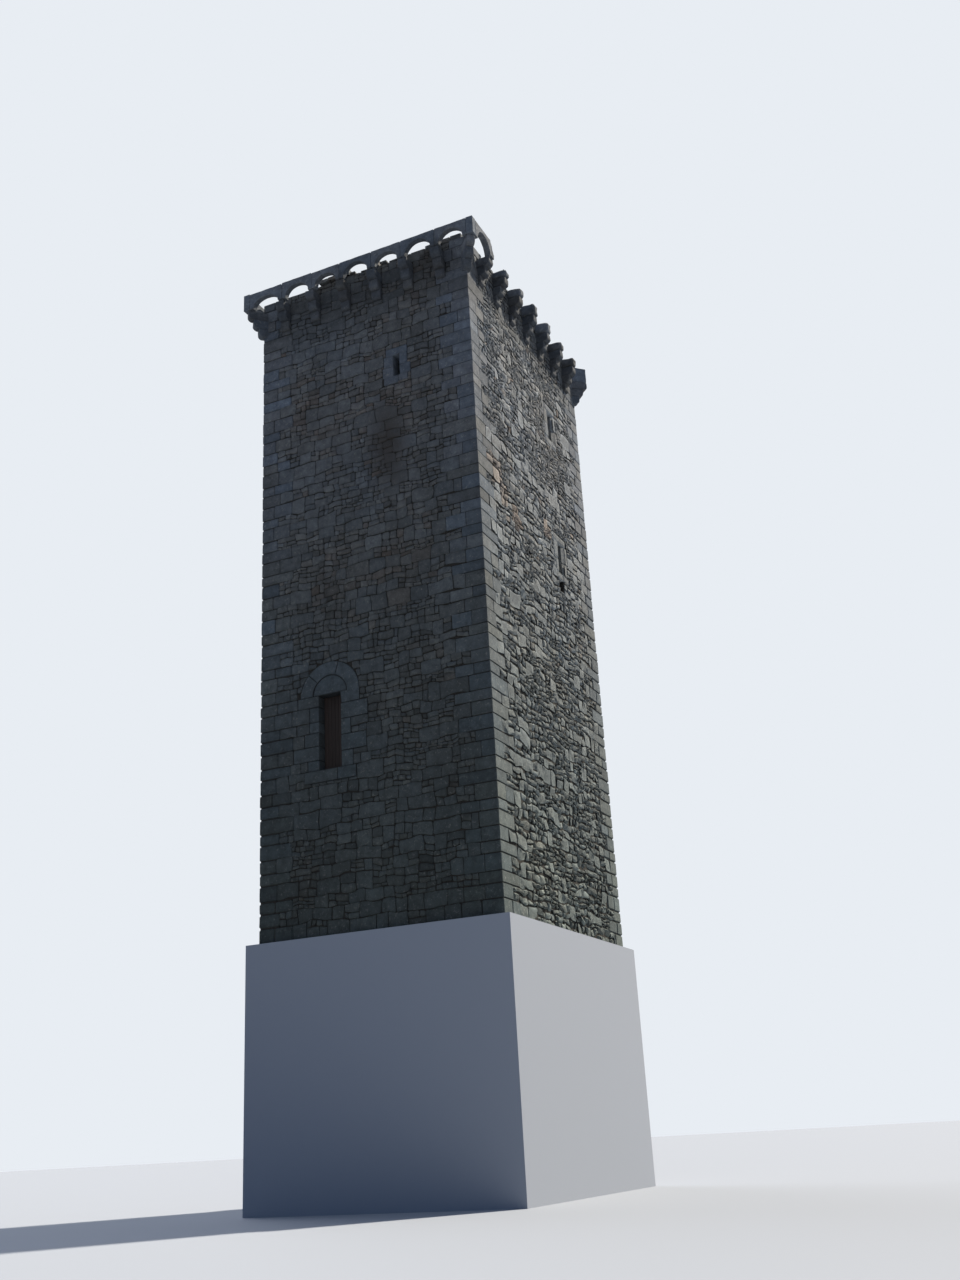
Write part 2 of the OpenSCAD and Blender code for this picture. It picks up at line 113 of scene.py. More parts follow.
def add_stone(pile, rings, put, tone, tint, wear=0.003, crown=0.0, ends=(False, True), shade=()):
    """Joins rings of points along a stone and closes its ends. Wear moves each point a little.
    A closed end rises by crown at its middle, and stays flat where that is None.
    Shade changes the tone of the first rings: it paints shade on the sides of a stone in its joints
    and reveals, and where it is above nought a highlight on a rim."""
    start, n = len(pile["points"]), len(rings[0])
    for ring in rings:
        for u, v, w in ring:
            p = Vector(put(u, v, w))
            if wear:
                # hollows about 140 mm wide, and chips a quarter of that
                p += wear * noise.noise_vector(p * 7.3) + 0.4 * wear * noise.noise_vector(p * 29.0)
            pile["points"].append(within(p))
    for r in range(len(rings) - 1):
        a, b = start + r * n, start + (r + 1) * n
        for k in range(n):
            m = (k + 1) % n
            pile["faces"].append((a + k, a + m, b + m, b + k))
    for closed, r, turn in ((ends[0], 0, -1), (ends[1], len(rings) - 1, 1)):
        if not closed:
            continue
        first, ring = start + r * n, rings[r]
        if crown is None:
            flat = [Vector((u, v, 0)) for u, v, _ in ring]
            for tri in tessellate_polygon([flat]):
                a, b, c = (ring[k] for k in tri)
                area = (b[0] - a[0]) * (c[1] - a[1]) - (b[1] - a[1]) * (c[0] - a[0])
                tri = tri if (area > 0) == (turn > 0) else tri[::-1]
                pile["faces"].append(tuple(first + k for k in tri))
            continue
        middle = [sum(p[axis] for p in ring) / n for axis in range(3)]
        top = len(pile["points"])
        pile["points"].append(within(put(middle[0], middle[1], middle[2] + turn * crown)))
        for k in range(n):
            pile["faces"].append((first + k, first + (k + 1) % n, top)[::turn])
    count = len(pile["points"]) - start
    tones = [max(-0.3, tone + change) for change in shade for k in range(n)]
    pile["tone"] += tones + [tone] * (count - len(tones))
    pile["tint"] += [tint] * count


def shrink(outline, d):
    """The outline moved inwards by d along its edges."""
    moved, n = [], len(outline)
    for k in range(n):
        (ax, ay), (bx, by), (cx, cy) = outline[k - 1], outline[k], outline[(k + 1) % n]
        e, f = Vector((bx - ax, by - ay)).normalized(), Vector((cx - bx, cy - by)).normalized()
        normal = Vector((-e.y - f.y, e.x + f.x))
        if normal.length < 1e-6:
            normal = Vector((-e.y, e.x))
        normal.normalize()
        reach = d / max(0.5, normal.dot(Vector((-e.y, e.x))))
        moved.append((bx + normal.x * reach, by + normal.y * reach))
    return moved


def square(u0, u1, v0, v1):
    return [(u0, v0), (u1, v0), (u1, v1), (u0, v1)]


def edge_points(corners, step, cut):
    """Corners of a dressed face, each cut off a little, with points between them every step."""
    points, n = [], len(corners)
    for k in range(n):
        a, b = Vector(corners[k]), Vector(corners[(k + 1) % n])
        length = (b - a).length
        along = (b - a) / length
        a, b = a + along * cut, b - along * cut
        parts = max(1, round((length - 2 * cut) / step))
        points += [tuple(a.lerp(b, i / parts)) for i in range(parts + 1)]
    return points


def worn_rings(outline, low, high, arris, parts=2):
    """A stone of one outline from low to high, with its arrises worn round at both ends."""
    small = shrink(outline, arris)
    rings = [[(u, v, low) for u, v in small]]
    for i in range(parts + 1):
        w = low + arris + (high - low - 2 * arris) * i / parts
        rings.append([(u, v, w) for u, v in outline])
    return rings + [[(u, v, high) for u, v in small]]


def new_object(name, data):
    made = bpy.data.objects.new(name, data)
    bpy.context.scene.collection.objects.link(made)
    return made


def lay(name, pile, material, slot, *nodes):
    """Makes a heap into one piece of the keep, which may stand for nodes of the solids."""
    mesh = bpy.data.meshes.new(name)
    mesh.from_pydata([tuple(p) for p in pile["points"]], [], pile["faces"])
    for key in ("tone", "tint"):
        layer = mesh.attributes.new(key, "FLOAT", "POINT")
        layer.data.foreach_set("value", pile[key])
    mesh.materials.append(material)
    mesh.shade_smooth()
    mesh.set_sharp_from_angle(angle=math.radians(30))
    piece = new_object(name, mesh)
    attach(piece, "root")
    if nodes:
        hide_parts(*nodes)


def lay_dressed(name, pile, *nodes):
    lay(name, pile, dressed_granite, "dressed_granite", *nodes)


def dress(node, material):
    """Gives a solid that stays a finish of its own."""
    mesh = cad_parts[node].data
    mesh.materials.clear()
    mesh.materials.append(material)


def linear(code):
    """The linear colour of an sRGB hex code."""
    parts = [int(code[i:i + 2], 16) / 255 for i in (1, 3, 5)]
    return (*(c / 12.92 if c <= 0.04045 else ((c + 0.055) / 1.055) ** 2.4 for c in parts), 1.0)


def add(tree, kind, wires=(), stops=(), **settings):
    """Adds a node with its settings, its inputs and the stops of a colour ramp. An input is a
    value, a socket, or a node that stands for its first socket."""
    node = tree.nodes.new("ShaderNode" + kind)
    for key, value in settings.items():
        setattr(node, key, value)
    for socket, value in dict(wires).items():
        value = value.outputs[0] if isinstance(value, bpy.types.Node) else value
        if isinstance(value, bpy.types.NodeSocket):
            tree.links.new(value, node.inputs[socket])
        else:
            node.inputs[socket].default_value = value
    for i, (place, colour) in enumerate(stops):
        elements = node.color_ramp.elements
        stop = elements[i] if i < 2 else elements.new(place)
        stop.position = place
        stop.color = linear(colour) if isinstance(colour, str) else (colour, colour, colour, 1)
    return node


def start_material(name):
    """A new material with an empty tree, and where a point is on the keep."""
    material = bpy.data.materials.new(name)
    material.use_nodes = True
    tree = material.node_tree
    tree.nodes.clear()
    return material, tree, add(tree, "TexCoord").outputs["Object"]


def finish_material(tree, colour, relief, strength, depth, roughness, specular):
    """Joins colour and relief, whose depth is in metres, to a matt surface."""
    bump = add(tree, "Bump", {"Height": relief, "Strength": strength, "Distance": depth})
    shader = add(tree, "BsdfPrincipled", {"Base Color": colour, "Roughness": roughness,
                                          "Specular IOR Level": specular, "Normal": bump})
    add(tree, "OutputMaterial", {"Surface": shader})


# Weathered granite. Its grain of 3 to 6 mm is drawn at about 12 mm, as coarse as it needs to show.
# Crusts of pale and of black lichen are 60 to 200 mm across. Damp runs down it, and algae darkens
# it near the ground. The front is painted darker as shade, and the wall under the crown takes
# moss and painted shade. The stones differ by tone and tint.
def granite(name, tints, lichen, pits, depth, shade):
    """Lichen is how thick its pale crusts are, pits how many there are to a metre, and shade how
    dark the front is painted in shade, low and high."""
    material, tree, place = start_material(name)
    tone = add(tree, "Attribute", attribute_name="tone").outputs["Fac"]
    tint = add(tree, "Attribute", attribute_name="tint").outputs["Fac"]
    colour = add(tree, "ValToRGB", {"Fac": tint}, tints)
    # green-grey algae, thickest near the ground and gone 15 m up
    above = add(tree, "SeparateXYZ", {"Vector": place}).outputs["Z"]
    algae = add(tree, "MapRange", {"Value": above, "From Min": 1.0, "From Max": 15.0,
                                   "To Min": 0.6, "To Max": 0.0})
    colour = add(tree, "Mix", {"Factor": algae, 6: colour, 7: linear("#4d5a51")},
                 data_type="RGBA").outputs[2]
    level = add(tree, "MapRange", {"Value": tone, "To Min": 0.45, "To Max": 1.55}, clamp=False)
    # the grain, blotches about 240 mm across, and damp that runs down for metres
    runs = add(tree, "Mapping", {"Vector": place, "Scale": (1.0, 1.0, 0.3)})
    clouds = []
    for where, scale, detail, roughness, spread, least, most in (
            (place, 85.0, 3.0, 0.7, 0.2, 0.78, 1.22), (place, 4.2, 6.0, 0.7, 0.18, 0.74, 1.26),
            (runs, 0.75, 5.0, 0.6, 0.15, 0.84, 1.12)):
        clouds.append(add(tree, "TexNoise", {"Vector": where, "Scale": scale, "Detail": detail,
                                             "Roughness": roughness}))
        factor = add(tree, "MapRange", {
            "Value": clouds[-1], "From Min": 0.5 - spread, "From Max": 0.5 + spread,
            "To Min": least, "To Max": most})
        level = add(tree, "Math", {0: level, 1: factor}, operation="MULTIPLY")
    grain, blotch, damp_and_painted_shade = clouds
    colour = add(tree, "VectorMath", {0: colour, "Scale": level}, operation="SCALE")
    # pale lichen, which thins out where the tone is low, so that it stays off the sides of the
    # stones that are painted in shade
    crust = add(tree, "TexNoise", {"Vector": place, "Scale": 11.0, "Detail": 6.0,
                                   "Roughness": 0.75})
    pale = add(tree, "MapRange", {"Value": crust, "From Min": 0.56, "From Max": 0.68})
    lichen_by_tone = add(tree, "MapRange", {"Value": tone, "From Max": 0.4, "To Max": lichen})
    pale = add(tree, "Math", {0: pale, 1: lichen_by_tone}, operation="MULTIPLY")
    soot = add(tree, "TexNoise", {"Vector": place, "Scale": 5.0, "Detail": 7.0, "Roughness": 0.7})
    black = add(tree, "MapRange", {"Value": soot, "From Min": 0.57, "From Max": 0.7,
                                   "To Max": 0.5})
    # rust-brown water stain below the slit of the front
    spot = add(tree, "Mapping", {"Vector": place, "Location": (0.8, -4.57, 14.5),
                                 "Scale": (1.0, 1.0, 2.2)}, vector_type="TEXTURE")
    near = add(tree, "TexGradient", {"Vector": spot}, gradient_type="SPHERICAL").outputs["Fac"]
    stain = add(tree, "Math", {0: near, 1: blotch}, operation="MULTIPLY")
    stain = add(tree, "MapRange", {"Value": stain, "From Min": 0.02, "From Max": 0.4,
                                   "To Max": 0.75})
    for share, cover in ((pale, "#adaea6"), (black, "#3a3b3a"), (stain, "#48403a")):
        colour = add(tree, "Mix", {"Factor": share, 6: colour, 7: linear(cover)},
                     data_type="RGBA").outputs[2]
    # painted shade: faces turned to the front are darker, most so near the ground; the dressed
    # stones high on the front are painted a little lighter
    normal = place.node.outputs["Normal"]
    towards = add(tree, "SeparateXYZ", {"Vector": normal}).outputs["Y"]
    dim = add(tree, "MapRange", {"Value": above, "From Min": 4.0, "From Max": 20.0,
                                 "To Min": shade[0], "To Max": shade[1]})
    painted_front_shade = add(tree, "MapRange", {"Value": towards, "From Min": -0.9, "From Max": -0.3,
                                   "To Min": dim, "To Max": 1.0})
    # the wall between the corbels and under them is darker, partly with moss and partly as painted
    # shade under the crown
    high = add(tree, "Math", {0: damp_and_painted_shade, 1: 1.8, 2: above}, operation="MULTIPLY_ADD")
    band = add(tree, "MapRange", {"Value": high, "From Min": 19.6, "From Max": 22.6})
    moss_and_painted_shade = add(tree, "ValToRGB", {"Fac": band},
                ((0.0, 1.0), (1.0, 1.0), (0.35, 0.62), (0.62, 0.58), (0.72, 0.95)))
    level = add(tree, "Math", {0: painted_front_shade, 1: moss_and_painted_shade}, operation="MULTIPLY")
    colour = add(tree, "VectorMath", {0: colour, "Scale": level}, operation="SCALE")
    rough = add(tree, "TexNoise", {"Vector": place, "Scale": pits, "Detail": 6.0,
                                   "Roughness": 0.68})
    relief = add(tree, "Math", {0: rough, 1: 0.8, 2: grain}, operation="MULTIPLY_ADD")
    finish_material(tree, colour, relief, 0.8, depth, 0.93, 0.3)
    return material


# Axe-dressed granite: flat, cool grey, finely pitted
dressed_granite = granite("axe_dressed_granite", (
    (0.0, "#616a74"), (1.0, "#6b6864"), (0.4, "#676b70"), (0.7, "#6b6d6d")),
    0.4, 26.0, 0.018, (0.59, 1.08))
# Split granite: rough, broken along its grain, browner where its skin has rusted
split_granite = granite("split_granite", (
    (0.0, "#787e83"), (1.0, "#857970"), (0.3, "#7d8081"), (0.55, "#80807e"), (0.8, "#827c77")),
    0.6, 16.0, 0.04, (0.54, 0.655))

# Lime mortar, washed out of the joints and dark with earth and moss
lime_mortar, tree, place = start_material("weathered_lime_mortar")
sand = add(tree, "TexNoise", {"Vector": place, "Scale": 22.0, "Detail": 8.0, "Roughness": 0.7})
colour = add(tree, "ValToRGB", {"Fac": sand}, ((0.3, "#23221f"), (0.75, "#43413c")))
finish_material(tree, colour, sand, 0.8, 0.03, 0.96, 0.2)

for number, (name, sx, sy, turn) in enumerate(CORNERS):
    rng = random.Random(100 + number)
    pile = heap()
    for i in range(course_count):
        # the beds are washed out wide at the foot of the keep and tight at its top
        washed = max(0.0, 1.0 - beds[i] / WASHED_TO)
        joint = 0.004 + 0.0035 * washed
        z0 = beds[i] + joint + rng.uniform(0.003, 0.018) * washed
        z1 = beds[i + 1] - joint
        reach = (arm(i, turn) - JOINT / 2, arm(i, turn + 1) - JOINT / 2)
        long_way = 0 if reach[0] > reach[1] else 1
        # the corner block, and where the long arm is made of two, the one beside it
        split = rng.uniform(0.4, 0.56) if rng.random() < 0.6 else None
        parts = [(0.0, split - JOINT / 2), (split + JOINT / 2, reach[long_way])] if split else [
            (0.0, reach[long_way])]
        for a, b in parts:
            out = rng.uniform(-0.006, 0.004)
            across = (out, min(reach[1 - long_way], BESIDE_D))
            if a == 0:
                a, across = out, (out, reach[1 - long_way])
            u, v = ((a, b), across) if long_way == 0 else (across, (a, b))
            # two of the corners are worn into a notch at every bed
            worn = rng.uniform(0.006, 0.012) + rng.uniform(0.002, 0.016) * washed
            worn += 0.0 if turn else rng.uniform(0.008, 0.022)
            rings = worn_rings(edge_points(square(*u, *v), 0.2, worn), z0, z1, worn)
            rings = [ring[::-1] for ring in rings] if turn else rings
            # the left corners are darker towards their foot
            tone = rng.gauss(0.5, 0.1) - (0.16 * washed if sx < 0 else 0.0)
            # the ends of each block at its beds are painted in shade, as shadow in the bed joints
            add_stone(pile, rings, at_corner(sx, sy), tone, rng.uniform(0.0, 0.7), 0.006, 0.0,
                      (True, True), (-0.5, -0.1, 0, -0.1, -0.5))
    lay_dressed(f"{name}_quoin_blocks", pile, f"{name}_quoins")

# The mortar between the quoin blocks, which ends short of their arms
pile = heap()
for name, sx, sy, turn in CORNERS:
    for i in range(course_count):
        x, y = arm(i, turn) - 0.04, arm(i, turn + 1) - 0.04
        corners = square(MORTAR_SET, x, MORTAR_SET, y)
        corners = corners[::-1] if turn else corners
        rings = [[(u, v, z) for u, v in corners] for z in (beds[i], beds[i + 1])]
        add_stone(pile, rings, at_corner(sx, sy), 0.5, 0.5, 0.0, 0.0, (True, True))
lay("quoin_mortar", pile, lime_mortar, "dressed_granite")


# Rubble walls: split granite in courses that follow the quoins, one to three stones high to a
# quoin, with larger blocks near the corners and left of the door. The solids of the walls are the
# mortar bed, 35 mm behind the quoins, and every stone is set in it and stands proud of it.
LIFTS = (("ground", 4.38), ("entrance", 10.6), ("middle", 15.6), ("upper", WALL_TOP))
# how deep the sides of a stone run into the mortar
STONE_ROOT = 0.06
CORBEL_FOOT, BAND_FOOT = 19.8, 20.739
CROWN_OUT, CORBEL_W = 0.485, 0.32
FRONT_BAYS, SIDE_BAYS = 7, 8
DOOR_X, DOOR_W, SILL_Z, SPRING_Z = -1.37, 0.72, 4.68, 6.93
DOOR_LEFT, DOOR_RIGHT = DOOR_X - DOOR_W / 2, DOOR_X + DOOR_W / 2
SILL_HALF, SILL_H = 0.85, 0.35
RING_R, TYMPANUM_R = 0.985, 0.565
JAMB_COURSES, JAMB_SHORT, JAMB_LONG, FOOT_Z = 4, 0.33, 0.89, 6.57
# how long each jamb stone is, from short to long, on the left and on the right from the sill up;
# none on the left reaches the arms of the corner
JAMB_SHARES = {-1: (0.1, 1, 0.3, 0, 0, 0.7), 1: (0.1, 0.9, 0, 1)}
JAMB_MOST = 1.23
SLIT_X, SLIT = 1.16, (0.22, 0.74, 16.85)
WINDOW_Y, WINDOWS = 1.77, ((0.42, 1.11, 11.9), (0.42, 1.11, 16.9))
# a stone that has fallen out under the lower window of the right side
FALLEN = (WINDOW_Y - 0.3, WINDOW_Y + 0.1, 11.23, 11.62)


def corbel_at(half, bays, i):
    return -half - CROWN_OUT / 2 + i * (2 * half + CROWN_OUT) / bays


# Each face: half its width, its bays, the turns of its quoins' arms, and where a stone goes. u runs
# to the right and w out of the wall, as seen from outside.
FACES = {
    "front": (HALF_W, FRONT_BAYS, (0, 1), lambda u, v, w: (u, -HALF_D - w, v)),
    "right": (HALF_D, SIDE_BAYS, (2, 1), lambda u, v, w: (HALF_W + w, u, v)),
    "back": (HALF_W, FRONT_BAYS, (0, 1), lambda u, v, w: (-u, HALF_D + w, v)),
    "left": (HALF_D, SIDE_BAYS, (2, 1), lambda u, v, w: (-HALF_W - w, -u, v)),
}
HOLES = (("front_slit", "front", SLIT_X, (SLIT,)), ("back_slit", "back", 0.0, (SLIT,)),
         ("right_window", "right", WINDOW_Y, WINDOWS), ("left_window", "left", -WINDOW_Y, WINDOWS))


def jamb_blocks():
    """Edges of the jamb stones beside the door: low u, high u, low v, high v."""
    through = [bed for bed in beds if SILL_Z + 0.15 < bed < SPRING_Z - 0.15]
    even = [SILL_Z + (FOOT_Z - SILL_Z) * j / JAMB_COURSES for j in range(1, JAMB_COURSES)]
    for side, levels in ((-1, [SILL_Z, *through, SPRING_Z]), (1, [SILL_Z, *even, FOOT_Z])):
        for low, high, share in zip(levels, levels[1:], JAMB_SHARES[side]):
            reach = DOOR_W / 2 + JAMB_SHORT + (JAMB_LONG - JAMB_SHORT) * share
            reach = min(reach, JAMB_MOST) if side < 0 else reach
            u = sorted((DOOR_X + side * DOOR_W / 2, DOOR_X + side * reach))
            yield u[0], u[1], low, high


def frame_blocks(u, w, h, z):
    """Edges of the stones round a window: two to a jamb, a lintel and two to the sill."""
    a, b, middle = u - w / 2, u + w / 2, z + h * (0.5 + 0.08 * uneven(z))
    side = [0.32 + 0.07 * uneven(round(7 * z) + 3 * k) for k in range(7)]
    yield a - side[0], a, z - 0.005, middle
    yield b, b + side[1], z - 0.005, middle
    yield a - side[2], a, middle, z + h + 0.005
    yield b, b + side[3], middle, z + h + 0.005
    yield a - side[4], b + side[5], z + h, z + h + 0.26
    yield a - side[6], u + 0.06, z - 0.27, z
    yield u + 0.06, b + side[3], z - 0.23, z


# Where dressed stones, openings and the hole leave no room for rubble
taken = {face: [] for face in FACES}
for face, (half, bays, turns, put) in FACES.items():
    for i in range(1, bays):
        c = corbel_at(half, bays, i)
        taken[face].append((c - CORBEL_W / 2, c + CORBEL_W / 2, CORBEL_FOOT, BAND_FOOT))
taken["front"] += [(DOOR_X - SILL_HALF, DOOR_X + SILL_HALF, SILL_Z - SILL_H, SILL_Z),
                   (DOOR_LEFT, DOOR_RIGHT, SILL_Z, SPRING_Z), *jamb_blocks(),
                   (DOOR_RIGHT, DOOR_X + RING_R, FOOT_Z, SPRING_Z)]
for name, face, u, sizes in HOLES:
    for w, h, z in sizes:
        taken[face] += [(u - w / 2, u + w / 2, z, z + h), *frame_blocks(u, w, h, z)]
taken["right"].append(FALLEN)


def free_parts(part, blocks):
    """What is left of a rectangle beside, under and over the blocks."""
    u0, u1, v0, v1 = part
    for a, b, c, d in blocks:
        if a < u1 - 0.001 and b > u0 + 0.001 and c < v1 - 0.001 and d > v0 + 0.001:
            pieces = [(u0, a, v0, v1), (b, u1, v0, v1),
                      (max(u0, a), min(u1, b), v0, c), (max(u0, a), min(u1, b), d, v1)]
            return [p for piece in pieces
                    if piece[1] - piece[0] > 0.05 and piece[3] - piece[2] > 0.04
                    for p in free_parts(piece, blocks)]
    return [part]


def rows_of(part, rng, style):
    """Rectangles of the stones that fill a part of a course."""
    u0, u1, v0, v1 = part
    height, u = v1 - v0, u0
    if u1 - u0 < 0.24:
        # a closer beside dressed work: squarish stones, one on the other
        n = max(1, min(3, round(height / max(0.13, u1 - u0))))
        for k in range(n):
            yield u0, u1, v0 + height * k / n, v0 + height * (k + 1) / n
        return
    while u < u1 - 0.001:
        blocky, small, longest = style(u + 0.3, (v0 + v1) / 2)
        chance = rng.random()
        if height < 0.18 or chance < blocky:
            rows, chunk = 1, min(0.85, max(0.24, height * rng.uniform(0.8, longest)))
        else:
            rows = 3 if height > 0.3 and chance > 1 - small else 2
            chunk = rng.uniform(0.3, 0.75)
        chunk = u1 - u if u1 - u - chunk < 0.22 else chunk
        cuts = sorted([0.0, 1.0] + [(r + rng.uniform(-0.26, 0.26)) / rows for r in range(1, rows)])
        for low, high in zip(cuts, cuts[1:]):
            a, z0, z1 = u, v0 + low * height, v0 + high * height
            while a < u + chunk - 0.001:
                length = max(0.14, rng.uniform(0.9, longest + 0.2) * (z1 - z0))
                if rows == 1 and chunk < 0.9 or u + chunk - a - length < 0.13:
                    length = u + chunk - a
                yield a, a + length, z0, z1
                a += length
        u += chunk


def sway(u, v, left, right, blocks, layer, step):
    """How far the beds and joints stray from straight lines, and not at all beside dressed work.
    A bed also steps up or down where the stones of a course change their height."""
    near = min(abs(u - left), abs(right - u), v, WALL_TOP + 0.05 - v)
    for a, b, c, d in blocks:
        near = min(near, max(a - u, u - b, c - v, v - d, 0.0))
    hold = min(1.0, max(0.0, near) / 0.3)
    wide = noise.noise_vector(Vector((u * 0.8, v * 1.1, layer)))
    fine = noise.noise_vector(Vector((u * 3.1, v * 3.5, layer + 9)))
    jump = step * math.tanh(3 * noise.noise(Vector((u * 1.7, v * 1.8, layer + 17))))
    return hold * (0.05 * wide.x + 0.045 * fine.x), hold * (0.075 * wide.y + 0.05 * fine.y + jump)


# Stones that stand out: face, u, v, reach, tone, tint
MARKS = (
    ("front", 0.2, 11.3, 0.16, 0.85, 0.3), ("right", -3.4, 13.4, 0.5, 0.66, 0.85),
    ("right", -1.9, 12.4, 0.4, 0.62, 0.95), ("right", 0.7, 13.0, 0.3, 0.66, 0.9),
    ("right", -2.7, 12.9, 0.35, 0.66, 0.85), ("front", 1.0, 9.3, 0.28, 0.5, 0.75),
    ("front", -0.6, 9.2, 0.22, 0.5, 0.7), ("front", 1.7, 10.4, 0.25, 0.52, 0.75),
)


# Each style gives, for a place on the face, the share of full courses, the share of courses in
# three rows, and how long the longest stones are for their height
def front_style(u, v):
    small = 0.05 + 0.7 * max(0.0, noise.noise(Vector((u * 0.55, v * 0.5, 3.0))))
    if u < DOOR_X and 3.0 < v < 8.1:
        return 0.96, 0.0, 2.1
    if v < 4.6:
        return 0.5, 0.6 * small, 2.0
    if u > 2.0:
        return 0.46, 0.6 * small, 1.9
    return 0.34, 0.6 * small, 1.9


def side_style(u, v):
    small = 0.14 + 0.6 * max(0.0, noise.noise(Vector((u * 0.55, v * 0.5, 5.0))))
    if u < -2.4 and v < 9:
        return 0.5, 0.0, 1.9
    if v > 15:
        return 0.1, 0.4 + small, 1.5
    return 0.34 if abs(u) > 2.9 else 0.18, 0.7 * small, 1.5


def by_the_ring(face, rectangles):
    """Stones that the ring over the door would cut are made smaller, and fill in round it."""
    for u0, u1, v0, v1 in rectangles:
        u, v = min(max(DOOR_X, u0), u1), min(max(SPRING_Z, v0), v1)
        if face != "front" or v1 < SPRING_Z + 0.02 or math.hypot(u - DOOR_X, v - SPRING_Z) > RING_R:
            yield u0, u1, v0, v1
            continue
        across, high = max(1, round((u1 - u0) / 0.24)), max(1, round((v1 - v0) / 0.2))
        for j in range(across * high):
            a, b = u0 + (u1 - u0) * (j % across) / across, v0 + (v1 - v0) * (j // across) / high
            c, d = a + (u1 - u0) / across, b + (v1 - v0) / high
            if math.hypot((a + c) / 2 - DOOR_X, (b + d) / 2 - SPRING_Z) > RING_R - 0.01:
                yield a, c, b, d


def set_stone(piles, face, number, box, rough, edges, rng):
    """Shapes one stone of the rubble from its box and puts it on the heap of its storey."""
    u0, u1, v0, v1 = box
    front = face == "front"
    cu, cv = (u0 + u1) / 2, (v0 + v1) / 2
    wide, high = u1 - u0, v1 - v0
    least, big = min(wide, high), high > 0.26
    # wide joints low down, where the rain has washed them out
    gap = rng.uniform(0.004, 0.009) * (1.3 if front and v0 < 9 else rough)
    gap = min(gap, 0.06 * least)
    under = gap + (rng.uniform(0.006, 0.02) if rng.random() < 0.35 * rough else 0.0)
    under = under if front else min(1.5 * under, 0.2 * high)
    cut = least * (rng.uniform(0.04, 0.11) if big else rng.uniform(0.06, 0.2))
    corners = square(u0 + gap, u1 - gap, v0 + under, v1 - gap)
    outline = []
    for u, v in edge_points(corners, max(wide, high) if least < 0.12 else 0.17, cut):
        du, dv = sway(u, v, *edges)
        u += du + rng.uniform(-0.007, 0.007) * rough
        v += dv + rng.uniform(-0.007, 0.007) * rough
        away = math.hypot(u - DOOR_X, v - SPRING_Z)
        if front and v > SPRING_Z - 0.02 and away < RING_R + 0.01:
            # cut to the round of the ring over the door
            push = (RING_R + 0.01) / max(away, 0.01)
            u, v = DOOR_X + (u - DOOR_X) * push, SPRING_Z + (v - SPRING_Z) * push
        outline.append((u, v))
    area = sum(a[0] * b[1] - b[0] * a[1]
               for a, b in zip(outline, outline[1:] + outline[:1])) / 2
    if area < 0.35 * wide * high:
        # too little of it is left beside the ring
        return
    mu, mv = (sum(p[axis] for p in outline) / len(outline) for axis in (0, 1))
    out = rng.uniform(-0.007, 0.004) if big else rng.uniform(-0.012, 0.006)
    tilt = (rng.uniform(-0.008, 0.008) * rough, rng.uniform(-0.011, 0.009) * rough)
    if not front:
        tilt = (1.5 * tilt[0], 1.3 * tilt[1])
    arris = rng.uniform(0.007, 0.013) if big else rng.uniform(0.009, 0.018)
    arris = min(0.16 * least, arris * rough)
    # the highest place of a broken face is anywhere on it
    top_u = mu + rng.uniform(-0.3, 0.3) * wide
    top_v = mv + rng.uniform(-0.3, 0.3) * high

    def inset(d, w):
        """The outline drawn in by d on every side, and w out on the tilted face."""
        return [(u + (top_u - u) * 2 * d / wide, v + (top_v - v) * 2 * d / high,
                 out + w + tilt[0] * (u - mu) / wide * 2 + tilt[1] * (v - mv) / high * 2)
                for u, v in outline]

    swell = (rng.uniform(0.0, 0.007) if big else rng.uniform(0.004, 0.016)) * rough
    rings = [[(u, v, -STONE_ROOT) for u, v in outline], inset(0.0, -arris),
             inset(0.6 * arris, -0.2 * arris),
             inset(max(1.3 * arris, 0.22 * least), 0.7 * swell)]
    if not front:
        # hammered off in flakes, which the sun picks out
        rings[3] = [(u, v, w + rng.uniform(-0.007, 0.009) * rough) for u, v, w in rings[3]]
    drift = noise.noise(Vector((cu * 0.4, cv * 0.33, 50.0 + number)))
    tone = rng.gauss(0.5, 0.08 if big else 0.13 * rough)
    tint = 0.35 + 0.55 * drift + rng.gauss(0.0, 0.13)
    if not front:
        tint *= 0.7
    if big:
        tint *= 0.5
    elif rng.random() < 0.02:
        tint = rng.uniform(0.6, 0.95)
    for where, at_u, at_v, reach, mark_tone, mark_tint in MARKS:
        if where == face and math.hypot(cu - at_u, cv - at_v) < reach:
            tone, tint = mark_tone + rng.uniform(-0.08, 0.08), mark_tint
    storey = next(k for k, (_, top) in enumerate(LIFTS) if cv < top or k == 3)
    # painted shade darkens the sides of each stone in its joints; on the other faces than the front
    # a painted highlight lightens its rim
    shade = (-0.5, -0.5, -0.1) if front else (-0.8, -0.3 - 0.2 * rough, 0.15 + 0.12 * rough)
    add_stone(piles[storey], rings, FACES[face][3], max(0.12, min(1.1, tone)),
              max(0.0, min(1.0, tint)), 0.004 * rough, 0.3 * swell, shade=shade)


for number, (face, (half, bays, turns, put)) in enumerate(FACES.items()):
    rng = random.Random(200 + number)
    piles = [heap() for lift in LIFTS]
    front = face == "front"
    for i in range(course_count):
        # the front is the smoother face; on the others the joints gape and the stones lean, most
        # so low down, and the stones are small under the crown
        rough = 1.0 if front else 2.1 - 0.05 * beds[i]
        left, right = -half + arm(i, turns[0]), half - arm(i, turns[1])
        edges = (left, right, taken[face], 31.0 * number, 0.035 if front else 0.055)
        for part in free_parts((left, right, beds[i], beds[i + 1]), taken[face]):
            boxes = rows_of(part, rng, front_style if front else side_style)
            for box in by_the_ring(face, boxes):
                set_stone(piles, face, number, box, rough, edges, rng)
    for (lift, top), pile in zip(LIFTS, piles):
        lay(f"{face}_rubble_{lift}", pile, split_granite, "granite_rubble")
        dress(f"{face}_wall_{lift}", lime_mortar)


